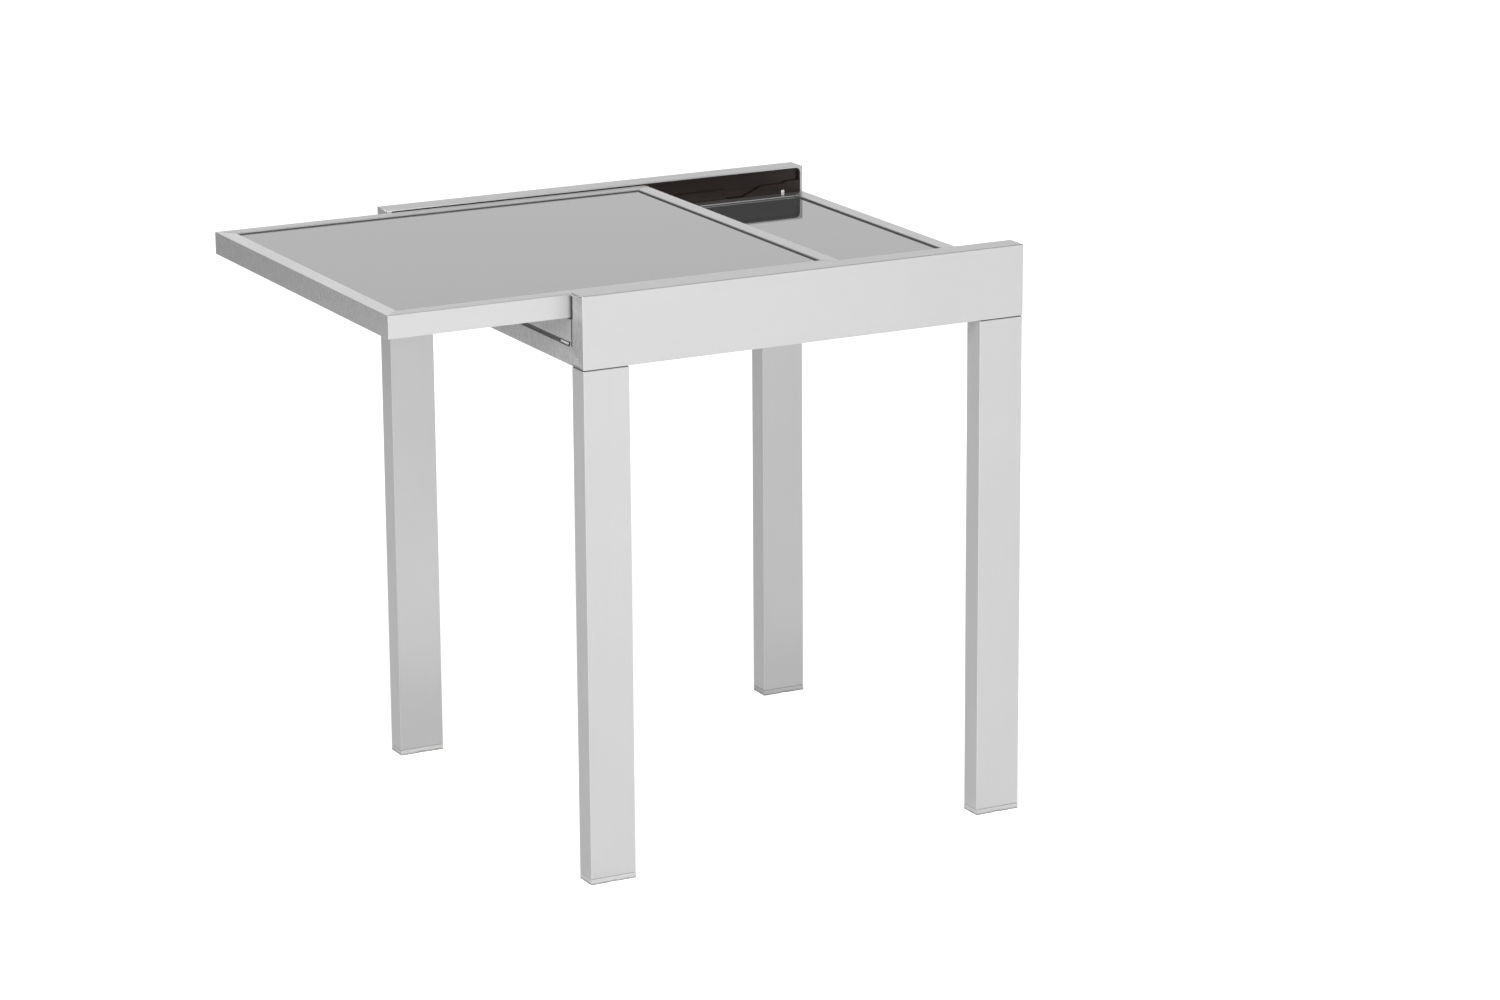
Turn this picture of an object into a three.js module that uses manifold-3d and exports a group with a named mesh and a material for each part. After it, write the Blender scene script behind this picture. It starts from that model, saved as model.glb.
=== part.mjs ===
// Extending balcony table: two sliding glass leaves in an aluminium frame on four tube legs.
// Millimetres, +Z up. X runs along the slide, -Y is the front, the floor is at Z = 0.
// A depth is measured inwards from the outer face of a side rail.
import * as THREE from "three";
import { mergeVertices } from "three/addons/utils/BufferGeometryUtils.js";
import Module from "manifold-3d";

const wasm = await Module();
wasm.setup();

// Whole table
const tableHeight = 750;
const railLength = 618;
const tableWidth = 618;

// Fits
const fit = 0.3;
const seat = 0.05;
const overrun = 5;

// Side rails, open towards the middle of the table
const railHeight = 92;
const railDepth = 32;
const railWall = 2;
const railFlange = 2;

// End caps of the rails
const capPlate = 3.5;
const capLugLength = 32;
const capLugHeight = 34;
const capLugDrop = 18;

// Legs
const legWidth = 62;
const legDepth = 32;
const legWall = 2;
const legSeam = 1;
const rightLegInset = 1;
const plugDepth = 25;
const plugFlangeInset = 1;

// Foot caps
const footHeight = 7;
const footSeam = 0.5;
const footSpigot = 20;
const footNotchWidth = 8;
const footNotchHeight = 2.2;
const footNotchDepth = 1.2;

// Leg bolts
const boltRadius = 4;
const boltLength = 26;
const boltHeadRadius = 6.5;
const boltHeadHeight = 5;
const boltSocketRadius = 3;
const boltSocketDepth = 3;

// End crossbars
const crossbarHeight = 22.5;
const crossbarDepth = 30;
const crossbarWall = 2;
const crossbarTongueLap = 8;
const cornerGussetWidth = 4.5;
const cornerGussetHeight = 5.5;

// Leaves
const leafEndInset = 0;
const leafSideGap = 1;
const leafHeight = 29;
const leafDrop = 3;
const leafGap = 2.7;
const upperLeafKept = 377;

// Leaf frame
const frameFace = 21;
const frameWall = 2;
const glassRecess = 2.1;
const glassThickness = 5;
const glassEdgeGap = 0.5;
const sealThickness = 1;
const sealWidth = 7;
const glassLedge = 9;
const ledgeWall = 2;
const mitreGap = 0.1;
const cornerKeyLeg = 42;

// Guide pins of the lower leaf
const pinRadius = 4;
const pinPlaces = [52, 266];
const shankRadius = 2.5;
const shankLength = 8;

// Glide shoes of the upper leaf
const shoeLength = 60;
const shoesFromRight = [263, 68];
const shoeShankSpread = 18;

// Pads that carry the lower leaf over the crossbars
const padLength = 25;
const padWidth = 28;
const padInset = 4;
const padChamfer = 3.5;
const padGap = 0.5;

// Guide liners
const linerThickness = 8;
const linerCorner = 6;
const linerRim = 2.3;
const linerEndRim = 2.3;
const trackDepth = 4;
const rampRun = 72;
const rampTopFromEnd = 63;
const notchMouth = 55;
const stopFromEnd = 30;
const stopRun = 7;
const stopRise = 3;

// Liner screws
const screwFromEnd = 30.4;
const screwDrop = 33;
const screwHeadRadius = 2.6;
const screwHeadHeight = 1.6;
const screwProud = 0.2;
const screwRadius = 1.5;
const screwLength = 14;

// Places worked out from the sizes above
const halfWidth = tableWidth / 2;
const railBottom = tableHeight - railHeight;
const legTop = railBottom - legSeam;
const crossbarTop = railBottom + crossbarHeight;
const upperLeafTop = tableHeight - leafDrop;
const lowerLeafTop = upperLeafTop - leafHeight - leafGap;
const lowerLeafBottom = lowerLeafTop - leafHeight;
const leafPitch = leafHeight + leafGap;
const leafLength = railLength - 2 * leafEndInset;
const upperLeafOut = railLength - upperLeafKept;
const leafOuterDepth = railDepth + leafSideGap;
const leafWidth = tableWidth - 2 * leafOuterDepth;
const linerTop = tableHeight - railFlange - fit;
const linerBottom = railBottom + railFlange + fit;
const linerLeft = capPlate + fit;
const linerRight = railLength - linerLeft;
const linerBack = railDepth - linerThickness;
const trackBack = railDepth - trackDepth;
const upperFloor = upperLeafTop - leafHeight / 2 - pinRadius - fit;
const upperRoof = linerTop - linerRim;
const lowerFloor = upperFloor - leafPitch;
const lowerRoof = lowerFloor + 2 * (pinRadius + fit);
const trackReach = leafOuterDepth - trackBack - fit;
const shoePlaces = shoesFromRight.map((back) => leafLength - back);

// Finishes
function finish(color, roughness, metalness) {
  return new THREE.MeshStandardMaterial({ color, roughness, metalness });
}
const satinAluminium = () => finish(0xc9c9c7, 0.38, 0.9);
const tintedGlass = () => finish(0x8f9090, 0.08, 0.1);
const blackPlastic = () => finish(0x26221f, 0.25, 0);
const greyPlastic = () => finish(0xb9b9b7, 0.55, 0);
const darkRubber = () => finish(0x2c2c2c, 0.8, 0);
const steel = () => finish(0xd6d6d4, 0.25, 1);
const castMetal = () => finish(0x9a9a98, 0.5, 0.8);

// Solids as closed meshes
function solid(geometry) {
  const bare = geometry.clone();
  bare.deleteAttribute("normal");
  bare.deleteAttribute("uv");
  const merged = mergeVertices(bare);
  return new wasm.Manifold(new wasm.Mesh({
    numProp: 3,
    vertProperties: merged.attributes.position.array,
    triVerts: new Uint32Array(merged.index.array),
  }));
}

function fromSolid(body) {
  const mesh = body.getMesh();
  const geometry = new THREE.BufferGeometry();
  geometry.setAttribute("position", new THREE.BufferAttribute(mesh.vertProperties, 3));
  geometry.setIndex(new THREE.BufferAttribute(mesh.triVerts, 1));
  geometry.computeVertexNormals();
  return geometry;
}

function join(...geometries) {
  return fromSolid(geometries.map(solid).reduce((a, b) => a.add(b)));
}

function cut(geometry, ...tools) {
  return fromSolid(tools.map(solid).reduce((a, b) => a.subtract(b), solid(geometry)));
}

function block(x, y, z) {
  const geometry = new THREE.BoxGeometry(x[1] - x[0], y[1] - y[0], z[1] - z[0]);
  return geometry.translate((x[0] + x[1]) / 2, (y[0] + y[1]) / 2, (z[0] + z[1]) / 2);
}

function outline(points) {
  return new THREE.Shape(points.map(([a, b]) => new THREE.Vector2(a, b)));
}

// Prisms whose outline lies in the plane square to the named axis
const alongX = new THREE.Matrix4().set(0, 0, 1, 0, 1, 0, 0, 0, 0, 1, 0, 0, 0, 0, 0, 1);
const alongY = new THREE.Matrix4().set(1, 0, 0, 0, 0, 0, -1, 0, 0, 1, 0, 0, 0, 0, 0, 1);

function prismX(shape, from, to) {
  const geometry = new THREE.ExtrudeGeometry(shape, { depth: to - from, bevelEnabled: false });
  return geometry.applyMatrix4(alongX).translate(from, 0, 0);
}

function prismY(shape, from, to) {
  const low = Math.min(from, to);
  const high = Math.max(from, to);
  const geometry = new THREE.ExtrudeGeometry(shape, { depth: high - low, bevelEnabled: false });
  return geometry.applyMatrix4(alongY).translate(0, high, 0);
}

function rod(radius, from, to, sides = 24) {
  const length = Math.abs(to - from);
  return new THREE.CylinderGeometry(radius, radius, length, sides).translate(0, (from + to) / 2, 0);
}

function uprightRod(radius, from, to, sides = 24) {
  return rod(radius, from, to, sides).rotateX(Math.PI / 2);
}

function roundedOutline(left, right, bottom, top, corner) {
  const shape = new THREE.Shape();
  shape.moveTo(left + corner, bottom);
  shape.lineTo(right - corner, bottom);
  shape.absarc(right - corner, bottom + corner, corner, -Math.PI / 2, 0);
  shape.lineTo(right, top - corner);
  shape.absarc(right - corner, top - corner, corner, 0, Math.PI / 2);
  shape.lineTo(left + corner, top);
  shape.absarc(left + corner, top - corner, corner, Math.PI / 2, Math.PI);
  shape.lineTo(left, bottom + corner);
  shape.absarc(left + corner, bottom + corner, corner, Math.PI, 1.5 * Math.PI);
  return shape;
}

// A depth from the outer face of the front (-1) or back (+1) rail as a Y place
function yAt(side, depth) {
  return side * (halfWidth - depth);
}

function ySpan(side, depthA, depthB) {
  return [yAt(side, depthA), yAt(side, depthB)].sort((a, b) => a - b);
}

const table = new THREE.Group();
table.position.x = (upperLeafOut - railLength) / 2;

function place(group, name, geometry, material, x = 0, y = 0, z = 0) {
  const mesh = new THREE.Mesh(geometry, material);
  mesh.name = name;
  mesh.position.set(x, y, z);
  group.add(mesh);
  return mesh;
}

const sides = [["front", -1], ["back", 1]];
const ends = [["left", 0], ["right", 1]];

// Middle of a leg along the rail
function legMiddle(end) {
  return end ? railLength - rightLegInset - legWidth / 2 : legWidth / 2;
}

// Side rails: an extruded channel with holes for the leg bolts
function sideRail(side) {
  const section = outline([
    [yAt(side, 0), railBottom],
    [yAt(side, railDepth), railBottom],
    [yAt(side, railDepth), railBottom + railFlange],
    [yAt(side, railWall), railBottom + railFlange],
    [yAt(side, railWall), tableHeight - railFlange],
    [yAt(side, railDepth), tableHeight - railFlange],
    [yAt(side, railDepth), tableHeight],
    [yAt(side, 0), tableHeight],
  ]);
  const channel = prismX(section, 0, railLength);
  const holes = ends.map(([, end]) => uprightRod(boltRadius + fit, railBottom - overrun,
    railBottom + railFlange + overrun).translate(legMiddle(end), yAt(side, legDepth / 2), 0));
  return cut(channel, ...holes);
}

// The piece between the end plate, the top flange and the rounded corner of the liner
function capFillet(side, end) {
  const reach = linerCorner + fit;
  const centre = linerTop - linerCorner;
  const shape = new THREE.Shape();
  shape.moveTo(0, linerTop);
  shape.lineTo(0, centre);
  shape.lineTo(capPlate, centre);
  shape.absarc(capPlate + reach, centre, reach, Math.PI, Math.PI - Math.asin(linerCorner / reach), true);
  const fillet = prismY(shape, yAt(side, linerBack), yAt(side, railDepth));
  if (!end) {
    return fillet;
  }
  return fillet.rotateZ(Math.PI).translate(railLength, yAt(side, linerBack) + yAt(side, railDepth), 0);
}

// End caps fill the open ends of the rails, with a lug behind the liner.
// The lower edge runs along the mitre with the crossbar.
function railEndCap(side, end) {
  const outer = railWall + fit;
  const mitre = [
    [yAt(side, outer), linerTop],
    [yAt(side, outer), linerBottom + fit],
    [yAt(side, railDepth), crossbarTop + fit],
    [yAt(side, railDepth), linerTop],
  ];
  const x = end ? [railLength - capPlate, railLength] : [0, capPlate];
  const plate = prismX(outline(mitre), x[0], x[1]);
  const lugX = end ? [x[0] - capLugLength, x[0] + capPlate / 2] : [x[1] - capPlate / 2, x[1] + capLugLength];
  const lugTop = linerTop - capLugDrop;
  const lug = block(lugX, ySpan(side, outer, linerBack - fit), [lugTop - capLugHeight, lugTop]);
  const cap = join(plate, lug, capFillet(side, end));
  if (!end) {
    return cap;
  }
  return cut(cap, screwAxis(side, screwRadius + fit, linerBack - overrun - screwLength, linerBack + overrun));
}

// A rod on the axis of the liner screw, between two depths
function screwAxis(side, radius, depthA, depthB) {
  return rod(radius, yAt(side, depthA), yAt(side, depthB))
    .translate(railLength - screwFromEnd, 0, tableHeight - screwDrop);
}

// The passage by which a guide pin climbs from the lower track to the upper one
function rampPassage(top) {
  const foot = top - rampRun;
  const slope = leafPitch / rampRun;
  const clearAbove = 2 * (pinRadius + fit) * Math.hypot(1, slope);
  const notch = top - notchMouth;
  return outline([
    [foot, lowerFloor],
    [top, upperFloor],
    [notch, upperFloor],
    [notch, lowerFloor + slope * (notch - foot) + clearAbove],
    [foot + (lowerRoof - lowerFloor - clearAbove) / slope, lowerRoof],
  ]);
}

// Guide liners: a moulded panel with the upper track, the lower track and the ramps between them
function guideLiner(side) {
  const panel = prismY(roundedOutline(linerLeft, linerRight, linerBottom, linerTop, linerCorner),
    yAt(side, linerBack), yAt(side, railDepth));
  const left = linerLeft + linerEndRim;
  const right = linerRight - linerEndRim;
  const stop = railLength - stopFromEnd;
  const turn = linerCorner - linerRim;
  const upperTrack = outline([
    [left, upperFloor],
    [stop, upperFloor],
    [stop + stopRun, upperFloor + stopRise],
    [right, upperFloor + stopRise],
  ]);
  upperTrack.lineTo(right, upperRoof - turn);
  upperTrack.absarc(right - turn, upperRoof - turn, turn, 0, Math.PI / 2);
  upperTrack.lineTo(left + turn, upperRoof);
  upperTrack.absarc(left + turn, upperRoof - turn, turn, Math.PI / 2, Math.PI);
  const rampTop = railLength - rampTopFromEnd;
  const lastPin = pinPlaces[pinPlaces.length - 1];
  const lowerTrack = outline([
    [left, lowerFloor],
    [rampTop - rampRun, lowerFloor],
    [rampTop - rampRun, lowerRoof],
    [left, lowerRoof],
  ]);
  const ramps = pinPlaces.map((pin) => rampPassage(rampTop - (lastPin - pin)));
  const tracks = [upperTrack, lowerTrack, ...ramps].map((shape) =>
    prismY(shape, yAt(side, trackBack), yAt(side, railDepth + overrun)));
  const head = screwAxis(side, screwHeadRadius + fit, railDepth - screwHeadHeight, railDepth + overrun);
  const shank = screwAxis(side, screwRadius + fit, linerBack - overrun, railDepth);
  return cut(panel, ...tracks, head, shank);
}

function linerScrew(side) {
  const face = railDepth + screwProud;
  const head = screwAxis(side, screwHeadRadius, face - screwHeadHeight, face);
  const shank = screwAxis(side, screwRadius, face - screwLength, face - screwHeadHeight / 2);
  return join(head, shank);
}

// End crossbars: a tube between the rails, with a tongue and a corner gusset at each end
function crossbar(end) {
  const x = end ? [railLength - crossbarDepth, railLength] : [0, crossbarDepth];
  const tongueX = end ? [railLength - capPlate, railLength] : [0, capPlate];
  const z = [railBottom, crossbarTop];
  const length = halfWidth - railDepth - fit;
  const bar = block(x, [-length, length], z);
  const bore = block(
    [x[0] + crossbarWall, x[1] - crossbarWall],
    [-length - overrun, length + overrun],
    [z[0] + crossbarWall, z[1] - crossbarWall],
  );
  const tongues = sides.map(([, side]) => {
    const outer = railWall + fit;
    const inner = railDepth + crossbarTongueLap;
    const shape = outline([
      [yAt(side, outer), linerBottom],
      [yAt(side, inner), linerBottom],
      [yAt(side, inner), crossbarTop],
      [yAt(side, railDepth + fit + cornerGussetWidth), crossbarTop],
      [yAt(side, railDepth + fit), crossbarTop + cornerGussetHeight],
      [yAt(side, railDepth + fit), crossbarTop],
      [yAt(side, railDepth), crossbarTop],
    ]);
    return prismX(shape, tongueX[0], tongueX[1]);
  });
  return join(cut(bar, bore), ...tongues);
}

// Pads under the lower leaf: on the leaf at the left end, on the crossbar at the right end
function leafPad(side, bottom, top, x) {
  const outer = railDepth + padInset;
  const shape = outline([
    [yAt(side, outer), top],
    [yAt(side, outer + padWidth), top],
    [yAt(side, outer + padWidth), bottom],
    [yAt(side, outer + padChamfer), bottom],
    [yAt(side, outer), bottom + padChamfer],
  ]);
  return prismX(shape, x, x + padLength);
}

// Legs stand under the ends of the rails
function tube(width, depth, wall, bottom, top) {
  const shape = outline([
    [-width / 2, -depth / 2],
    [width / 2, -depth / 2],
    [width / 2, depth / 2],
    [-width / 2, depth / 2],
  ]);
  shape.holes.push(new THREE.Path([
    new THREE.Vector2(-width / 2 + wall, -depth / 2 + wall),
    new THREE.Vector2(-width / 2 + wall, depth / 2 - wall),
    new THREE.Vector2(width / 2 - wall, depth / 2 - wall),
    new THREE.Vector2(width / 2 - wall, -depth / 2 + wall),
  ]));
  return new THREE.ExtrudeGeometry(shape, { depth: top - bottom, bevelEnabled: false }).translate(0, 0, bottom);
}

function centredBlock(width, depth, bottom, top) {
  return block([-width / 2, width / 2], [-depth / 2, depth / 2], [bottom, top]);
}

const insideWidth = legWidth - 2 * (legWall + fit);
const insideDepth = legDepth - 2 * (legWall + fit);

function footCap() {
  const base = centredBlock(legWidth, legDepth, 0, footHeight);
  const spigot = centredBlock(insideWidth, insideDepth, footHeight / 2, footHeight + footSpigot);
  const notches = [-1, 1].map((side) => centredBlock(footNotchWidth, 2 * footNotchDepth,
    -overrun, footNotchHeight).translate(0, side * legDepth / 2, 0));
  return cut(join(base, spigot), ...notches);
}

function legPlug() {
  const flange = centredBlock(legWidth - 2 * plugFlangeInset, legDepth - 2 * plugFlangeInset,
    legTop + seat, railBottom - seat);
  const body = centredBlock(insideWidth, insideDepth, legTop - plugDepth, legTop + legSeam / 2);
  const hole = uprightRod(boltRadius + fit, legTop - plugDepth - overrun, railBottom + overrun);
  return cut(join(flange, body), hole);
}

function legBolt() {
  const under = railBottom + railFlange + seat;
  const top = under + boltHeadHeight;
  const shank = uprightRod(boltRadius, under - boltLength, under + boltHeadHeight / 2);
  const head = uprightRod(boltHeadRadius, under, top);
  const socket = uprightRod(boltSocketRadius, top - boltSocketDepth, top + overrun, 6);
  return cut(join(shank, head), socket);
}

function addBase(group) {
  for (const [sideName, side] of sides) {
    place(group, `side_rail_${sideName}`, sideRail(side), satinAluminium());
    place(group, `guide_liner_${sideName}`, guideLiner(side), blackPlastic());
    place(group, `liner_screw_${sideName}`, linerScrew(side), steel());
    for (const [endName, end] of ends) {
      const corner = `${sideName}_${endName}`;
      const x = legMiddle(end);
      const y = yAt(side, legDepth / 2);
      place(group, `rail_end_cap_${corner}`, railEndCap(side, end), satinAluminium());
      place(group, `leg_${corner}`, tube(legWidth, legDepth, legWall, footHeight + footSeam, legTop),
        satinAluminium(), x, y);
      place(group, `foot_cap_${corner}`, footCap(), greyPlastic(), x, y);
      place(group, `leg_plug_${corner}`, legPlug(), blackPlastic(), x, y);
      place(group, `leg_bolt_${corner}`, legBolt(), steel(), x, y);
    }
    place(group, `rest_pad_${sideName}`, leafPad(side, crossbarTop + seat, lowerLeafBottom - fit,
      railLength - crossbarDepth), greyPlastic());
  }
  for (const [endName, end] of ends) {
    place(group, `crossbar_${endName}`, crossbar(end), satinAluminium());
  }
}

// Leaf frame member: outer face at 0, glass ledge on the inner side, top at 0, ends cut to the mitre
function frameMember(length) {
  const ledgeTop = -(glassRecess + glassThickness + sealThickness);
  const shape = outline([
    [0, 0],
    [0, -leafHeight],
    [frameFace, -leafHeight],
    [frameFace, ledgeTop - ledgeWall],
    [frameFace + glassLedge, ledgeTop - ledgeWall],
    [frameFace + glassLedge, ledgeTop],
    [frameFace, ledgeTop],
    [frameFace, 0],
  ]);
  shape.holes.push(new THREE.Path([
    new THREE.Vector2(frameWall, -frameWall),
    new THREE.Vector2(frameFace - frameWall, -frameWall),
    new THREE.Vector2(frameFace - frameWall, frameWall - leafHeight),
    new THREE.Vector2(frameWall, frameWall - leafHeight),
  ]));
  const geometry = new THREE.ExtrudeGeometry(shape, { depth: length, bevelEnabled: false });
  const points = geometry.attributes.position;
  for (let i = 0; i < points.count; i += 1) {
    const inwards = points.getX(i) + mitreGap;
    points.setZ(i, points.getZ(i) > length / 2 ? length - inwards : inwards);
  }
  return geometry.applyMatrix4(alongX);
}

// The four members in the order front, back, left, right, each turned about the middle of the leaf
function leafMembers(group, name, drill) {
  const middle = leafLength / 2;
  const turned = (length, across, angle) => frameMember(length)
    .translate(-length / 2, -across / 2, 0)
    .rotateZ(angle)
    .translate(middle, 0, 0);
  const front = turned(leafLength, leafWidth, 0);
  const back = turned(leafLength, leafWidth, Math.PI);
  place(group, `${name}_member_front`, cut(front, ...drill(-1)), satinAluminium());
  place(group, `${name}_member_back`, cut(back, ...drill(1)), satinAluminium());
  place(group, `${name}_member_left`, turned(leafWidth, leafLength, -Math.PI / 2), satinAluminium());
  place(group, `${name}_member_right`, turned(leafWidth, leafLength, Math.PI / 2), satinAluminium());
}

function cornerKey(end, side) {
  const low = frameWall + fit;
  const high = frameFace - frameWall - fit;
  const z = [low - leafHeight, -low];
  const xAt = (u) => (end ? leafLength - u : u);
  const yIn = (u) => side * (leafWidth / 2 - u);
  const span = (f, a, b) => [f(a), f(b)].sort((p, q) => p - q);
  const long = block(span(xAt, low, cornerKeyLeg), span(yIn, low, high), z);
  const short = block(span(xAt, low, high), span(yIn, low, cornerKeyLeg), z);
  return join(long, short);
}

function leafPlate(inset, bottom, top) {
  return block([inset, leafLength - inset], [inset - leafWidth / 2, leafWidth / 2 - inset], [bottom, top]);
}

function glassSeal() {
  const outer = frameFace + glassEdgeGap;
  const top = -(glassRecess + glassThickness);
  const ring = leafPlate(outer, top - sealThickness + seat, top - seat);
  return cut(ring, leafPlate(outer + sealWidth, top - overrun, top + overrun));
}

// A rod square to the outer face of a long member, between two distances out from that face
function memberAxis(side, radius, x, z, outA, outB) {
  const y = (out) => side * (leafWidth / 2 + out);
  return rod(radius, y(outA), y(outB)).translate(x, 0, z);
}

function guidePin(side, x) {
  const z = -leafHeight / 2;
  const head = memberAxis(side, pinRadius, x, z, seat, trackReach);
  const shank = memberAxis(side, shankRadius, x, z, -shankLength, trackReach / 2);
  return join(head, shank);
}

function glideShoe(side, x) {
  const z = [upperFloor + fit - upperLeafTop, upperRoof - fit - upperLeafTop];
  const y = [seat, trackReach].map((out) => side * (leafWidth / 2 + out)).sort((a, b) => a - b);
  const shoe = block([x - shoeLength / 2, x + shoeLength / 2], y, z);
  const shanks = [-1, 1].map((way) => memberAxis(side, shankRadius, x + way * shoeShankSpread,
    -leafHeight / 2, -shankLength, trackReach / 2));
  return join(shoe, ...shanks);
}

function addLeaf(group, name, drillPlaces) {
  const drill = (side) => drillPlaces.map((x) =>
    memberAxis(side, shankRadius + fit, x, -leafHeight / 2, -shankLength, overrun));
  leafMembers(group, name, drill);
  place(group, `${name}_glass`, leafPlate(frameFace + glassEdgeGap, -(glassRecess + glassThickness),
    -glassRecess), tintedGlass());
  place(group, `${name}_glass_seal`, glassSeal(), darkRubber());
  for (const [sideName, side] of sides) {
    for (const [endName, end] of ends) {
      place(group, `${name}_corner_key_${sideName}_${endName}`, cornerKey(end, side), castMetal());
    }
  }
}

const base = new THREE.Group();
addBase(base);
table.add(base);

// The upper leaf rides on four shoes in the upper track, pulled out to the left
const upperLeaf = new THREE.Group();
upperLeaf.position.set(leafEndInset - upperLeafOut, 0, upperLeafTop);
addLeaf(upperLeaf, "upper_leaf", shoePlaces.flatMap((x) => [x - shoeShankSpread, x + shoeShankSpread]));
for (const [sideName, side] of sides) {
  place(upperLeaf, `glide_shoe_${sideName}_middle`, glideShoe(side, shoePlaces[0]), greyPlastic());
  place(upperLeaf, `glide_shoe_${sideName}_right`, glideShoe(side, shoePlaces[1]), greyPlastic());
}
table.add(upperLeaf);

// The lower leaf is stowed under it, on pins in the lower track and a pad at each left corner
const lowerLeaf = new THREE.Group();
lowerLeaf.position.set(leafEndInset, 0, lowerLeafTop);
addLeaf(lowerLeaf, "lower_leaf", pinPlaces);
for (const [sideName, side] of sides) {
  place(lowerLeaf, `guide_pin_${sideName}_left`, guidePin(side, pinPlaces[0]), steel());
  place(lowerLeaf, `guide_pin_${sideName}_middle`, guidePin(side, pinPlaces[1]), steel());
  place(lowerLeaf, `leaf_pad_${sideName}`, leafPad(side, crossbarTop + padGap - lowerLeafTop,
    -leafHeight - seat, 0), greyPlastic());
}
table.add(lowerLeaf);

export default table;
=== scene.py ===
import math

import bpy
from mathutils import Matrix, Vector


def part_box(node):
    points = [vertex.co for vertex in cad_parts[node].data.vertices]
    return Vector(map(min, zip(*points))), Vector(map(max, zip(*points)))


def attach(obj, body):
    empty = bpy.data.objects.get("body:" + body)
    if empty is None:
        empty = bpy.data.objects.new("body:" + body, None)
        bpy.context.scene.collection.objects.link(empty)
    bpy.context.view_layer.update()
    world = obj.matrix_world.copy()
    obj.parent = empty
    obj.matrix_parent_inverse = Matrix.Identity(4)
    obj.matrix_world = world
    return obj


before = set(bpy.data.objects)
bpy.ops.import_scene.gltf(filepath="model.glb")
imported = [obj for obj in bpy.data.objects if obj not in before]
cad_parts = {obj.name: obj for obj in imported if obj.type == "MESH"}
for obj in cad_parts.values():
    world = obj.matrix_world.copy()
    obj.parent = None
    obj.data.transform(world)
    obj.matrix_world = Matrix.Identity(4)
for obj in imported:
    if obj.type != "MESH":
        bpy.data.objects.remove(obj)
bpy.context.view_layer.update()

# A millimetre in metres, and the upright axis
MM = 0.001
UP = 2

# Camera, fitted to the photograph: widths in pixels and millimetres, turns in radians
IMAGE_WIDTH = 1500
SENSOR = 36
FOCAL_PIXELS = 4710.4
CAMERA_YAW = 0.4839
CAMERA_PITCH = 0.2652
CAMERA_ROLL = -0.0060
CAMERA_AIM = Vector((-18.5, -415.7, 500)) * MM
CAMERA_DISTANCE = 5713 * MM

# Sky, as glossy surfaces see it: bright at the horizon, dimmer above and at the back left
WHITE = (1, 1, 1, 1)
SKY_FILL = 0.3
HORIZON_BAND = (0.27, 0.42)
OVERHEAD_LEVEL = 0.3
SKY_BRIGHT_SIDE = (0.7, -0.7, 0)
SKY_DIM_BAND = (-0.95, -0.5)
SKY_DIM_LEVEL = 0.4

# Black flag in the sky, which the front arrises mirror
SKY_FLAG_SIDE = (0.449, -0.262, 0.855)
SKY_FLAG_BAND = (0.8, 0.94)
SKY_FLAG_LEVEL = 0.12

# Floor, as the camera sees it, in metres from the middle of the table
FLOOR_RADIUS = 30
FLOOR_CORNERS = [(-1, -1), (1, -1), (1, 1), (-1, 1)]
FLOOR_COLOUR = (0.82, 0.82, 0.82, 1)
FLOOR_GLOW = 0.76
FLOOR_FADE = (1.0, 2.4)

# Floor, as glossy surfaces see it: bright at the front right, dim behind, dimmer far behind
FRONT_SIDE = (0.45, -0.9, 0)
FRONT_BAND = (0.12, 0.28)
BEHIND_LEVEL = 0.685
FAR_BEHIND_BAND = (-3.4, -2.4)
FAR_BEHIND_LEVEL = 0.45
NEAR_BAND = (0.5, 2.4)
NEAR_LEVEL = 0.9

# Across the legs from the left: the shade right of the far right leg, and the steps (start, end
# and change) in how far the dim floor reaches forward past each leg
ACROSS_SIDE = (0.885, 0.465, 0)
SHADE_BAND = (0.3, 0.45)
SHADE_DEPTH = 0.17
REACH_STEPS = [(-0.15, -0.06, -0.15), (0.06, 0.14, 0.39), (0.26, 0.4, -0.24)]

# Lamps: place, aim, width, height and watts
KEY_LAMP = ((-1.6, -2.7, 2.9), (0, 0, 0.4), 2.0, 1.6, 110)
TOP_LAMP = ((0.3, 0.6, 2.6), (0, 0, 0.6), 2.2, 2.2, 3)

# Arrises of the metal, glass and plastic pieces
RAIL_ARRIS = 1.1 * MM
LEG_ARRIS = 0.8 * MM
LEAF_ARRIS = 0.7 * MM
FINE_ARRIS = 0.4 * MM
PLATE_ARRIS = 0.1 * MM
ARRIS_STEPS = 3
SHARP_ANGLE = math.radians(30)
FLAT_ANGLE = math.radians(0.5)
WELD_REACH = 0.001 * MM
LONG_EDGE = 14 * MM

# Grains of the finishes, in cycles a metre
SMOOTH_DRAW = 4
FINE_DRAW = 900
METAL_CLOUDS = (7, 7, 7)
METAL_MOTTLE = (240, 240, 110)
GLASS_WIPES = (3, 22, 22)
GLASS_SPECKS = (260, 260, 260)
LINER_RUBS = (9, 240, 240)
LINER_GRAIN = (500, 500, 500)
LINER_PATCHES = (26, 60, 60)
PLASTIC_GRAIN = (900, 900, 900)
PLASTIC_GRIME = (55, 55, 55)
FOOT_SHADE_BREAKUP = (120, 120, 60)
STEEL_TURNING = (1500, 60, 1500)
CAST_PITS = (420, 420, 420)
RUBBER_GRAIN = (700, 700, 700)

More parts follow.
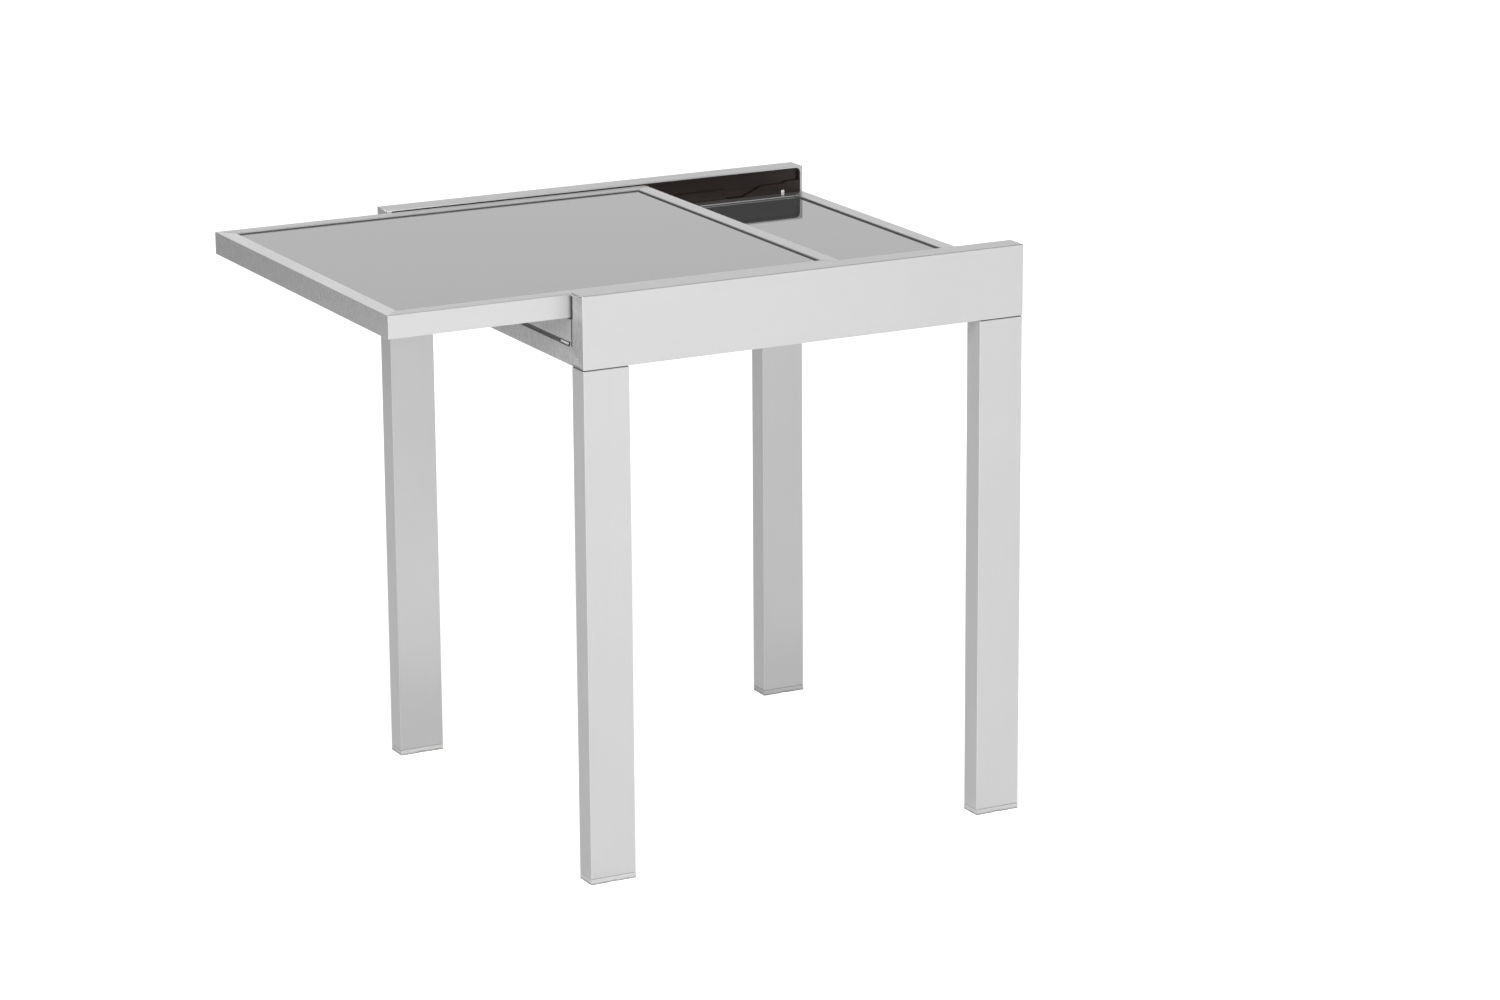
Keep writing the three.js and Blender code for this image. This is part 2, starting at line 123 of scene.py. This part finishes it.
# Ramps of the finishes: place and level of each stop
ARRIS_RAMP = [(0.8, 1), (0.96, 0)]
CUT_END_RAMP = [(0.7, 0), (0.95, 1)]
MOTTLE_RAMP = [(0.42, 0), (0.66, 1)]
DUST_RAMP = [(0.66, 0), (0.8, 1)]
RUB_RAMP = [(0.5, 0), (0.72, 1)]
GRIME_RAMP = [(0.4, 0), (0.75, 1)]
FOOT_SHADE_RAMP = [(0.25, 1), (0.8, 0)]

# Colours of the finishes
DRAWN_SHADE = 0.885
MOTTLE_COLOUR = (0.5, 0.495, 0.49, 1)
# Painted highlight: near-white colour of the rounded arrises
ARRIS_HIGHLIGHT_COLOUR = (0.96, 0.96, 0.955, 1)
ARRIS_METALLIC = 0.97
GLASS_COLOUR = (0.104, 0.105, 0.106, 1)
DUST_COLOUR = (0.14, 0.14, 0.14, 1)
LINER_COLOUR = (0.007, 0.003, 0.002, 1)
LINER_RUBBED_COLOUR = (0.032, 0.0185, 0.015, 1)
FOOT_COLOUR = (0.76, 0.76, 0.755, 1)
# Painted shade at the bottom of the feet
FOOT_SHADE_COLOUR = (0.26, 0.26, 0.255, 1)
GLIDE_COLOUR = (0.85, 0.85, 0.84, 1)
GLIDE_WORN_COLOUR = (0.72, 0.72, 0.71, 1)
PLUG_COLOUR = (0.02, 0.02, 0.02, 1)
PLUG_WORN_COLOUR = (0.035, 0.035, 0.035, 1)
STEEL_COLOUR = (0.95, 0.95, 0.945, 1)
STEEL_DARK_COLOUR = (0.86, 0.86, 0.85, 1)
CAST_COLOUR = (0.42, 0.42, 0.41, 1)
CAST_PIT_COLOUR = (0.3, 0.3, 0.3, 1)
SEAL_COLOURS = ((0.02, 0.02, 0.02, 1), (0.045, 0.045, 0.045, 1))
BEAD_COLOURS = ((0.09, 0.09, 0.09, 1), (0.13, 0.13, 0.13, 1))

# How much each grain tells in a finish's colour (tint), roughness (matt) and height (relief)
METAL_CLOUD_TINT = 0.5
METAL_LINE_TINT = 0.3
METAL_LINE_MATT = 0.06
METAL_CLOUD_MATT = 0.05
METAL_BLOTCH_MATT = 0.13
METAL_ARRIS_POLISH = 0.03
METAL_LINE_RELIEF = 0.7
METAL_MOTTLE_RELIEF = 0.3
GLASS_DUST_TINT = 0.3
GLASS_WIPE_MATT = 0.02
GLASS_DUST_MATT = 0.05
LINER_RUB_TINT = 0.35
LINER_PATCH_TINT = 0.4
LINER_RUB_MATT = 0.2
LINER_PATCH_MATT = 0.12
LINER_GRAIN_RELIEF = 0.4
LINER_RUB_RELIEF = 0.6
PLASTIC_GRAIN_MATT = 0.12
FOOT_SHADE_BREAKUP_WEIGHT = 0.5
STEEL_TURNING_MATT = 0.12
CAST_PIT_MATT = 0.2
RUBBER_GRAIN_MATT = 0.15

# Roughness of the finishes where no grain adds to it
GLASS_ROUGHNESS = 0.015
LINER_ROUGHNESS = 0.24
FOOT_ROUGHNESS = 0.45
STEEL_ROUGHNESS = 0.3
CAST_ROUGHNESS = 0.45
RUBBER_ROUGHNESS = 0.7

# Depth of the relief in the finishes, and how high the painted shade on the feet climbs from the floor
FINE_RELIEF = 0.1 * MM
LINER_RELIEF = 0.15 * MM
CAST_RELIEF = 0.2 * MM
FOOT_SHADE_HEIGHT = 5.5 * MM

# Small black pieces at the left end and round the panes; the pieces at the left end are partly painted shade
EDGE_STANDS = 0.45 * MM
EDGE_WIDE = 4 * MM
EDGE_NARROW = 1.6 * MM
EDGE_STEP = 717 * MM
EDGE_FOOT = 682 * MM
EDGE_TOP_GAP = 2.5 * MM
PAD_CHAMFER = 3.5 * MM
PAD_SHADE_RIM_SIDE = 3 * MM
PAD_SHADE_RIM_FOOT = 1.2 * MM
PAD_SHADE_RIM_TOP = 0.6 * MM
BEAD_OVERLAP = 0.45 * MM
BEAD_WIDTH = 0.95 * MM
BEAD_HEIGHT = 0.9 * MM


def grey(level):
    return (level, level, level, 1)


class Value:
    """A number, colour or vector from a node, ready for sums."""

    def __init__(self, finish, socket):
        self.finish = finish
        self.socket = socket

    def sum(self, operation, first, second):
        return self.finish.node("ShaderNodeMath", {"operation": operation}, {0: first, 1: second})

    def __add__(self, other):
        return self.sum("ADD", self, other)

    def __radd__(self, other):
        return self.sum("ADD", other, self)

    def __sub__(self, other):
        return self.sum("SUBTRACT", self, other)

    def __rsub__(self, other):
        return self.sum("SUBTRACT", other, self)

    def __mul__(self, other):
        return self.sum("MULTIPLY", self, other)

    def __rmul__(self, other):
        return self.sum("MULTIPLY", other, self)

    def size(self):
        return self.sum("ABSOLUTE", self, 0)

    def above(self, level):
        return self.sum("GREATER_THAN", self, level)

    def most(self, other):
        return self.sum("MAXIMUM", self, other)


class Finish:
    """The nodes of a material, of the world or of a modifier."""

    def __init__(self, tree):
        self.tree = tree
        tree.nodes.clear()

    def node(self, kind, settings=None, sockets=None, output=0):
        made = self.tree.nodes.new(kind)
        for name, value in (settings or {}).items():
            if name == "stops":
                self.set_stops(made.color_ramp, value)
            else:
                setattr(made, name, value)
        for name, value in (sockets or {}).items():
            self.feed(made.inputs[name], value)
        return Value(self, made.outputs[output]) if made.outputs else None

    def set_stops(self, ramp, stops):
        while len(ramp.elements) < len(stops):
            ramp.elements.new(1)
        for element, (place, level) in zip(ramp.elements, stops):
            element.position = place
            element.color = grey(level)

    def feed(self, socket, value):
        if isinstance(value, Value):
            self.tree.links.new(value.socket, socket)
        else:
            socket.default_value = value

    def places(self, stretch=(1, 1, 1)):
        """Places on the piece in metres, drawn out along an axis where its number is low."""
        source = self.node("ShaderNodeTexCoord", output="Object")
        return self.node("ShaderNodeMapping", {"vector_type": "POINT"}, {"Vector": source, "Scale": stretch})

    def noise(self, stretch, detail=3, rough=0.5):
        return self.node("ShaderNodeTexNoise", {"noise_dimensions": "3D"}, {
            "Vector": self.places(stretch), "Scale": 1, "Detail": detail, "Roughness": rough})

    def ramp(self, value, stops):
        return self.node("ShaderNodeValToRGB", {"stops": stops}, {"Fac": value})

    def between(self, factor, first, second):
        """A colour between two colours."""
        return self.node("ShaderNodeMix", {"data_type": "RGBA"}, {
            "Factor": factor, 6: first, 7: second}, output=2)

    def part_of(self, vector, axis):
        return self.node("ShaderNodeSeparateXYZ", None, {"Vector": vector}, output=axis)

    def bump(self, height, strength, depth):
        return self.node("ShaderNodeBump", None, {
            "Height": height, "Strength": strength, "Distance": depth})

    def surface(self, sockets):
        shader = self.node("ShaderNodeBsdfPrincipled", None, sockets)
        self.node("ShaderNodeOutputMaterial", None, {"Surface": shader})


def material(name):
    made = bpy.data.materials.new(name)
    made.use_nodes = True
    return made, Finish(made.node_tree)


def satin_aluminium(name, axis, rough, metal=0.75, pale=0.78, mottled=0.0):
    """Satin aluminium with drawing lines along axis 0, 1 or 2, mottled cut ends, and arrises a little
    polished and lightened by a painted highlight.
    """
    made, finish = material(name)
    drawn = [FINE_DRAW] * 3
    drawn[axis] = SMOOTH_DRAW
    lines = finish.noise(drawn, detail=2)
    clouds = finish.noise(METAL_CLOUDS, detail=3)
    mottle = finish.noise(METAL_MOTTLE, detail=4, rough=0.6)
    normal = finish.node("ShaderNodeNewGeometry", output="Normal")
    facing = [finish.part_of(normal, part).size() for part in range(3)]
    arris = finish.ramp(facing[0].most(facing[1]).most(facing[2]), ARRIS_RAMP)
    cut_end = finish.ramp(facing[0], CUT_END_RAMP)
    blotches = finish.ramp(mottle, MOTTLE_RAMP) * cut_end * mottled
    tint = clouds * METAL_CLOUD_TINT + lines * METAL_LINE_TINT
    matt = lines * METAL_LINE_MATT + clouds * METAL_CLOUD_MATT + blotches * METAL_BLOTCH_MATT
    relief = lines * METAL_LINE_RELIEF + mottle * METAL_MOTTLE_RELIEF
    drawn_colour = finish.between(tint, grey(pale), grey(pale * DRAWN_SHADE))
    face_colour = finish.between(blotches, drawn_colour, MOTTLE_COLOUR)
    # Painted highlight: the arrises get a near-white, more metallic colour; only their slightly lower
    # roughness is polish
    finish.surface({
        "Base Color": finish.between(arris, face_colour, ARRIS_HIGHLIGHT_COLOUR),
        "Metallic": metal + arris * (ARRIS_METALLIC - metal),
        "Roughness": rough + matt - arris * METAL_ARRIS_POLISH,
        "Normal": finish.bump(relief, strength=0.06, depth=FINE_RELIEF),
    })
    return made


def dark_glass():
    """Polished dark grey glass that looks opaque, with faint wiping marks."""
    made, finish = material("dark_glass")
    wipes = finish.noise(GLASS_WIPES, detail=4)
    specks = finish.noise(GLASS_SPECKS, detail=2)
    dust = finish.ramp(specks, DUST_RAMP)
    finish.surface({
        "Base Color": finish.between(dust * GLASS_DUST_TINT, GLASS_COLOUR, DUST_COLOUR),
        "Roughness": GLASS_ROUGHNESS + wipes * GLASS_WIPE_MATT + dust * GLASS_DUST_MATT,
        "IOR": 1.6,
        "Coat Weight": 0.36,
        "Coat Roughness": 0.02,
        "Coat IOR": 1.5,
    })
    return made


def liner_plastic():
    """Brown-black moulded plastic, rubbed along the slide."""
    made, finish = material("liner_plastic")
    rubs = finish.noise(LINER_RUBS, detail=4)
    grain = finish.noise(LINER_GRAIN, detail=3)
    patches = finish.noise(LINER_PATCHES, detail=4)
    rubbed = finish.ramp(rubs, RUB_RAMP)
    tint = rubbed * LINER_RUB_TINT + patches * LINER_PATCH_TINT
    relief = grain * LINER_GRAIN_RELIEF + rubs * LINER_RUB_RELIEF
    finish.surface({
        "Base Color": finish.between(tint, LINER_COLOUR, LINER_RUBBED_COLOUR),
        "Roughness": LINER_ROUGHNESS + rubbed * LINER_RUB_MATT + patches * LINER_PATCH_MATT,
        "IOR": 1.42,
        "Normal": finish.bump(relief, strength=0.12, depth=LINER_RELIEF),
    })
    return made


def moulded_plastic(name, clean, worn, rough):
    """Moulded plastic with a fine grain and a little dirt."""
    made, finish = material(name)
    grain = finish.noise(PLASTIC_GRAIN, detail=3)
    grime_and_shade_noise = finish.noise(PLASTIC_GRIME, detail=4)
    finish.surface({
        "Base Color": finish.between(finish.ramp(grime_and_shade_noise, GRIME_RAMP), clean, worn),
        "Roughness": rough + grain * PLASTIC_GRAIN_MATT,
        "Normal": finish.bump(grain, strength=0.15, depth=FINE_RELIEF),
    })
    return made


def foot_plastic():
    """Pale grey moulded plastic, darkened by painted shade where it meets the floor."""
    made, finish = material("foot_plastic")
    grain = finish.noise(PLASTIC_GRAIN, detail=3)
    grime_and_shade_noise = finish.noise(FOOT_SHADE_BREAKUP, detail=4)
    height = finish.part_of(finish.places(), UP)
    # Painted shade: darker towards the bottom, where the foot meets the floor, with a ragged edge
    floor_shade = finish.ramp(height * (1 / FOOT_SHADE_HEIGHT) + grime_and_shade_noise * FOOT_SHADE_BREAKUP_WEIGHT, FOOT_SHADE_RAMP)
    finish.surface({
        "Base Color": finish.between(floor_shade, FOOT_COLOUR, FOOT_SHADE_COLOUR),
        "Roughness": FOOT_ROUGHNESS + grain * PLASTIC_GRAIN_MATT,
        "Normal": finish.bump(grain, strength=0.15, depth=FINE_RELIEF),
    })
    return made


def bright_steel():
    """Turned steel of the screws, bolts and pins."""
    made, finish = material("bright_steel")
    turning = finish.noise(STEEL_TURNING, detail=2)
    finish.surface({
        "Base Color": finish.between(turning, STEEL_COLOUR, STEEL_DARK_COLOUR),
        "Metallic": 0.45,
        "Roughness": STEEL_ROUGHNESS + turning * STEEL_TURNING_MATT,
    })
    return made


def cast_metal():
    """Pitted metal of the corner keys."""
    made, finish = material("cast_metal")
    pits = finish.noise(CAST_PITS, detail=4)
    finish.surface({
        "Base Color": finish.between(pits, CAST_COLOUR, CAST_PIT_COLOUR),
        "Metallic": 0.85,
        "Roughness": CAST_ROUGHNESS + pits * CAST_PIT_MATT,
        "Normal": finish.bump(pits, strength=0.3, depth=CAST_RELIEF),
    })
    return made


def seal_rubber(name, dark, pale):
    """Matt rubber of the strips and beads round the panes."""
    made, finish = material(name)
    grain = finish.noise(RUBBER_GRAIN, detail=3)
    finish.surface({
        "Base Color": finish.between(grain, dark, pale),
        "Roughness": RUBBER_ROUGHNESS + grain * RUBBER_GRAIN_MATT,
        "Normal": finish.bump(grain, strength=0.2, depth=FINE_RELIEF),
    })
    return made


def modify(piece, kind, **settings):
    modifier = piece.modifiers.new(kind.lower(), kind)
    for name, value in settings.items():
        setattr(modifier, name, value)


def long_arrises():
    """Marks the long sharp edges of an extrusion, so that small holes don't hold its arrises back."""
    group = bpy.data.node_groups.new("long_arrises", "GeometryNodeTree")
    for way in ("INPUT", "OUTPUT"):
        group.interface.new_socket("Geometry", in_out=way, socket_type="NodeSocketGeometry")
    marks = Finish(group)
    ends = [marks.node("GeometryNodeInputMeshEdgeVertices", output=f"Position {end}") for end in (1, 2)]
    length = marks.node("ShaderNodeVectorMath", {"operation": "DISTANCE"}, {
        0: ends[0],
        1: ends[1],
    }, output="Value")
    angle = marks.node("GeometryNodeInputMeshEdgeAngle", output="Unsigned Angle")
    marked = marks.node("GeometryNodeStoreNamedAttribute", {"data_type": "FLOAT", "domain": "EDGE"}, {
        "Geometry": marks.node("NodeGroupInput", output="Geometry"),
        "Name": "bevel_weight_edge",
        "Value": length.above(LONG_EDGE) * angle.above(SHARP_ANGLE),
    })
    marks.node("NodeGroupOutput", None, {"Geometry": marked})
    return group


def round_arrises(piece, width, extruded):
    """Rounds all sharp edges of a piece, or only the long ones of an extrusion."""
    modify(piece, "WELD", merge_threshold=WELD_REACH)
    modify(piece, "DECIMATE", decimate_type="DISSOLVE", angle_limit=FLAT_ANGLE)
    if extruded:
        modify(piece, "NODES", node_group=LONG_ARRISES)
        modify(piece, "BEVEL", width=width, segments=ARRIS_STEPS, limit_method="WEIGHT")
    else:
        modify(piece, "BEVEL", width=width, segments=ARRIS_STEPS, limit_method="ANGLE",
               angle_limit=SHARP_ANGLE)
    modify(piece, "WEIGHTED_NORMAL", keep_sharp=False)


def dress(piece, finish, arris):
    piece.data.materials.clear()
    piece.data.materials.append(finish)
    round_arrises(piece, arris, finish in EXTRUDED)


LONG_ARRISES = long_arrises()
ALONG_X = satin_aluminium("satin_aluminium_along", axis=0, rough=0.32)
ALONG_Y = satin_aluminium("satin_aluminium_across", axis=1, rough=0.23, mottled=0.45)
# Painted shade: a darker copy of the across finish, for the right members of both leaves
ALONG_Y_SHADED = satin_aluminium("satin_aluminium_across_painted_shade", axis=1, rough=0.23, pale=0.65, mottled=0.45)
ALONG_Z = satin_aluminium("satin_aluminium_upright", axis=2, rough=0.28, pale=0.77)
CAP = satin_aluminium("satin_aluminium_cap", axis=2, rough=0.5, pale=0.7, mottled=0.6)
SLIDING = satin_aluminium("satin_aluminium_sliding", axis=0, rough=0.2, metal=0.93)
EXTRUDED = [ALONG_X, ALONG_Y, ALONG_Y_SHADED, ALONG_Z, CAP, SLIDING]
GLASS = dark_glass()
LINER = liner_plastic()
FOOT = foot_plastic()
GLIDE = moulded_plastic("glide_plastic", GLIDE_COLOUR, GLIDE_WORN_COLOUR, rough=0.4)
PLUG = moulded_plastic("plug_plastic", PLUG_COLOUR, PLUG_WORN_COLOUR, rough=0.5)
STEEL = bright_steel()
CAST = cast_metal()
SEAL = seal_rubber("seal_rubber", *SEAL_COLOURS)
BEAD = seal_rubber("bead_rubber", *BEAD_COLOURS)

# Start of a node's name, its finish and its arris; the first row that fits counts
FINISHES = [
    ("side_rail_front", ALONG_X, RAIL_ARRIS),
    ("side_rail_back", ALONG_X, FINE_ARRIS),
    ("rail_end_cap", CAP, FINE_ARRIS),
    ("crossbar", ALONG_Y, FINE_ARRIS),
    ("leg_plug", PLUG, FINE_ARRIS),
    ("leg_bolt", STEEL, FINE_ARRIS),
    ("leg_", ALONG_Z, LEG_ARRIS),
    ("foot_cap", FOOT, FINE_ARRIS),
    ("guide_liner", LINER, FINE_ARRIS),
    ("liner_screw", STEEL, FINE_ARRIS),
    ("rest_pad", GLIDE, FINE_ARRIS),
    ("leaf_pad", GLIDE, FINE_ARRIS),
    ("glide_shoe", GLIDE, FINE_ARRIS),
    ("guide_pin", STEEL, FINE_ARRIS),
    ("upper_leaf_glass_seal", SEAL, FINE_ARRIS),
    ("lower_leaf_glass_seal", SEAL, FINE_ARRIS),
    ("upper_leaf_glass", GLASS, FINE_ARRIS),
    ("lower_leaf_glass", GLASS, FINE_ARRIS),
    ("upper_leaf_corner_key", CAST, FINE_ARRIS),
    ("lower_leaf_corner_key", CAST, FINE_ARRIS),
    ("upper_leaf_member_left", ALONG_Y, LEAF_ARRIS),
    ("upper_leaf_member_right", ALONG_Y_SHADED, LEAF_ARRIS),
    ("lower_leaf_member_left", ALONG_Y, LEAF_ARRIS),
    ("lower_leaf_member_right", ALONG_Y_SHADED, LEAF_ARRIS),
    ("upper_leaf_member", ALONG_X, LEAF_ARRIS),
    ("lower_leaf_member", SLIDING, LEAF_ARRIS),
]


def dress_nodes():
    """Gives every node of the frame its finish and its arrises."""
    for name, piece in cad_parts.items():
        finish, arris = next(looks for start, *looks in FINISHES if name.startswith(start))
        dress(piece, finish, arris)


def plate(name, outer, inner, thickness, finish, body, slot):
    """A flat plate between its outer corners and those of its opening, which may be an empty list."""
    corners = outer + inner
    count = len(outer)
    faces = [tuple(range(count))]
    if inner:
        turns = [(first, (first + 1) % count) for first in range(count)]
        faces = [(first, after, after + count, first + count) for first, after in turns]
    mesh = bpy.data.meshes.new(name)
    mesh.from_pydata(corners, [], faces)
    made = bpy.data.objects.new(name, mesh)
    bpy.context.scene.collection.objects.link(made)
    mesh.materials.append(finish)
    modify(made, "SOLIDIFY", thickness=thickness, offset=0)
    modify(made, "BEVEL", width=PLATE_ARRIS, segments=1, limit_method="ANGLE", angle_limit=SHARP_ANGLE)
    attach(made, body)


def liner_end_and_gap_shade(side_name, side):
    """The dark end of the liner, seen between the end cap and the leaves; partly painted shade of the gap
    there, widest beside the upper leaf.
    """
    low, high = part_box(f"rail_end_cap_{side_name}_left")
    inner = min(abs(low.y), abs(high.y))
    outline = [
        (inner, EDGE_FOOT),
        (inner + EDGE_NARROW, EDGE_FOOT),
        (inner + EDGE_NARROW, EDGE_STEP),
        (inner + EDGE_WIDE, EDGE_STEP),
        (inner + EDGE_WIDE, high.z - EDGE_TOP_GAP),
        (inner, high.z - EDGE_TOP_GAP),
    ]
    # Painted shade in part: a dark strip standing on the end cap's inner edge
    plate(f"liner_end_and_gap_shade_{side_name}", [(low.x, side * y, z) for y, z in outline], [], 2 * EDGE_STANDS, LINER,
          "frame", "liner_plastic")


def pad_shade_rim(side_name, side):
    """The black rim of the pad under the left end of the lower leaf: a dark gap line above the pad, and
    painted shadow below and round it.
    """
    low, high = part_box(f"leaf_pad_{side_name}")
    inner, outer = sorted((abs(low.y), abs(high.y)))
    rim = [
        (outer, high.z),
        (inner, high.z),
        (inner, low.z),
        (outer - PAD_CHAMFER, low.z),
        (outer, low.z + PAD_CHAMFER),
    ]
    opening = [
        (outer - PAD_SHADE_RIM_SIDE, high.z - PAD_SHADE_RIM_TOP),
        (inner + PAD_SHADE_RIM_FOOT, high.z - PAD_SHADE_RIM_TOP),
        (inner + PAD_SHADE_RIM_FOOT, low.z + PAD_SHADE_RIM_FOOT),
        (outer - PAD_SHADE_RIM_SIDE - PAD_CHAMFER / 2, low.z + PAD_SHADE_RIM_FOOT),
        (outer - PAD_SHADE_RIM_SIDE, low.z + PAD_SHADE_RIM_FOOT + PAD_CHAMFER / 2),
    ]
    # Painted shadow in part: a black rim round the pad
    plate(f"pad_shade_rim_{side_name}", [(low.x, side * y, z) for y, z in rim],
          [(low.x, side * y, z) for y, z in opening], 2 * EDGE_STANDS, PLUG, "lower_leaf", "black_plastic")


def glass_bead(leaf):
    """The black bead that seals the edge of a pane to its frame."""
    low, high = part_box(f"{leaf}_glass")
    middle = high.z + BEAD_HEIGHT / 2
    rings = []
    for out in (BEAD_OVERLAP, BEAD_OVERLAP - BEAD_WIDTH):
        rings.append([
            (low.x - out, low.y - out, middle),
            (high.x + out, low.y - out, middle),
            (high.x + out, high.y + out, middle),
            (low.x - out, high.y + out, middle),
        ])
    plate(f"{leaf}_glass_bead", *rings, BEAD_HEIGHT, BEAD, leaf, "seal")


def rises(finish, value, start, end, low, high):
    return finish.node("ShaderNodeMapRange", {"interpolation_type": "SMOOTHSTEP"}, {
        "Value": value, "From Min": start, "From Max": end, "To Min": low, "To Max": high})


def towards(finish, place, side):
    """How far a place lies towards a side of the studio."""
    return finish.node("ShaderNodeVectorMath", {"operation": "DOT_PRODUCT"}, {
        0: place, 1: side}, output="Value")


def seen_white(finish, gloss_level):
    """1 for what the camera or a clear pane sees directly, gloss_level for what a gloss sees."""
    camera, gloss, clear = [finish.node("ShaderNodeLightPath", output=f"Is {way} Ray")
                            for way in ("Camera", "Glossy", "Transmission")]
    return camera.most(clear).most(gloss * gloss_level)


def studio_world():
    """White to the camera, a plain fill to matt surfaces, and a graded sky to glossy ones."""
    world = bpy.data.worlds.new("studio")
    world.use_nodes = True
    bpy.context.scene.world = world
    finish = Finish(world.node_tree)
    direction = finish.node("ShaderNodeTexCoord", output="Generated")
    height = finish.part_of(direction, UP)
    overhead = rises(finish, height, *HORIZON_BAND, 1, OVERHEAD_LEVEL)
    bright = rises(finish, towards(finish, direction, SKY_BRIGHT_SIDE), *SKY_DIM_BAND, SKY_DIM_LEVEL, 1)
    flag = rises(finish, towards(finish, direction, SKY_FLAG_SIDE), *SKY_FLAG_BAND, 1, SKY_FLAG_LEVEL)
    gloss = finish.node("ShaderNodeLightPath", output="Is Glossy Ray")
    strength = seen_white(finish, overhead * flag * bright).most((1 - gloss) * bright * SKY_FILL)
    glow = finish.node("ShaderNodeBackground", None, {"Color": WHITE, "Strength": strength})
    finish.node("ShaderNodeOutputWorld", None, {"Surface": glow})


def studio_floor():
    """White with the table's shadow to the camera, and graded to glossy surfaces."""
    mesh = bpy.data.meshes.new("floor")
    corners = [(FLOOR_RADIUS * x, FLOOR_RADIUS * y, 0) for x, y in FLOOR_CORNERS]
    mesh.from_pydata(corners, [], [tuple(range(len(corners)))])
    floor = bpy.data.objects.new("floor", mesh)
    bpy.context.scene.collection.objects.link(floor)
    made, finish = material("floor")
    mesh.materials.append(made)
    place = finish.places()
    far = finish.node("ShaderNodeVectorMath", {"operation": "LENGTH"}, {0: place}, output="Value")
    fade = rises(finish, far, *FLOOR_FADE, FLOOR_GLOW, 1)
    ahead = towards(finish, place, FRONT_SIDE)
    across = towards(finish, place, ACROSS_SIDE)
    shade = rises(finish, across, *SHADE_BAND, 0, SHADE_DEPTH)
    reach = sum(rises(finish, across, start, end, 0, step) for start, end, step in REACH_STEPS)
    front = rises(finish, ahead - reach, *FRONT_BAND, 0, 1)
    bright = BEHIND_LEVEL + front * (1 - BEHIND_LEVEL - shade)
    behind = rises(finish, ahead, *FAR_BEHIND_BAND, FAR_BEHIND_LEVEL, 1)
    near = rises(finish, far, *NEAR_BAND, NEAR_LEVEL, 1)
    lit = finish.node("ShaderNodeBsdfDiffuse", None, {"Color": FLOOR_COLOUR})
    glow = finish.node("ShaderNodeEmission", None, {
        "Color": WHITE,
        "Strength": seen_white(finish, 0) * fade,
    })
    both = finish.node("ShaderNodeAddShader", None, {0: lit, 1: glow})
    mirrored = finish.node("ShaderNodeEmission", None, {
        "Color": WHITE,
        "Strength": bright * behind * near,
    })
    gloss = finish.node("ShaderNodeLightPath", output="Is Glossy Ray")
    seen = finish.node("ShaderNodeMixShader", None, {0: gloss, 1: both, 2: mirrored})
    finish.node("ShaderNodeOutputMaterial", None, {"Surface": seen})


def soft_lamp(name, place, aim, width, height, watts):
    data = bpy.data.lights.new(name, "AREA")
    data.shape = "RECTANGLE"
    data.size = width
    data.size_y = height
    data.energy = watts
    lamp = bpy.data.objects.new(name, data)
    bpy.context.scene.collection.objects.link(lamp)
    lamp.location = place
    lamp.rotation_mode = "QUATERNION"
    lamp.rotation_quaternion = (Vector(aim) - Vector(place)).to_track_quat("-Z", "Y")


def photograph_camera():
    """The camera, as fitted to the photograph."""
    data = bpy.data.cameras.new("camera")
    data.sensor_width = SENSOR
    data.lens = FOCAL_PIXELS / IMAGE_WIDTH * SENSOR
    camera = bpy.data.objects.new("camera", data)
    bpy.context.scene.collection.objects.link(camera)
    level = math.cos(CAMERA_PITCH)
    ahead = Vector((math.sin(CAMERA_YAW) * level, math.cos(CAMERA_YAW) * level, -math.sin(CAMERA_PITCH)))
    right = Vector((math.cos(CAMERA_YAW), -math.sin(CAMERA_YAW), 0))
    up = right.cross(ahead)
    turned_right = math.cos(CAMERA_ROLL) * right + math.sin(CAMERA_ROLL) * up
    turned_up = turned_right.cross(ahead)
    camera.matrix_world = Matrix.Translation(CAMERA_AIM - ahead * CAMERA_DISTANCE) @ Matrix(
        (turned_right, turned_up, -ahead)).transposed().to_4x4()
    bpy.context.scene.camera = camera


photograph_camera()
studio_world()
studio_floor()
soft_lamp("key", *KEY_LAMP)
soft_lamp("top", *TOP_LAMP)
dress_nodes()
for side_name, side in (("front", -1), ("back", 1)):
    liner_end_and_gap_shade(side_name, side)
    pad_shade_rim(side_name, side)
for leaf in ("upper_leaf", "lower_leaf"):
    glass_bead(leaf)

bpy.context.scene.view_settings.view_transform = "Standard"
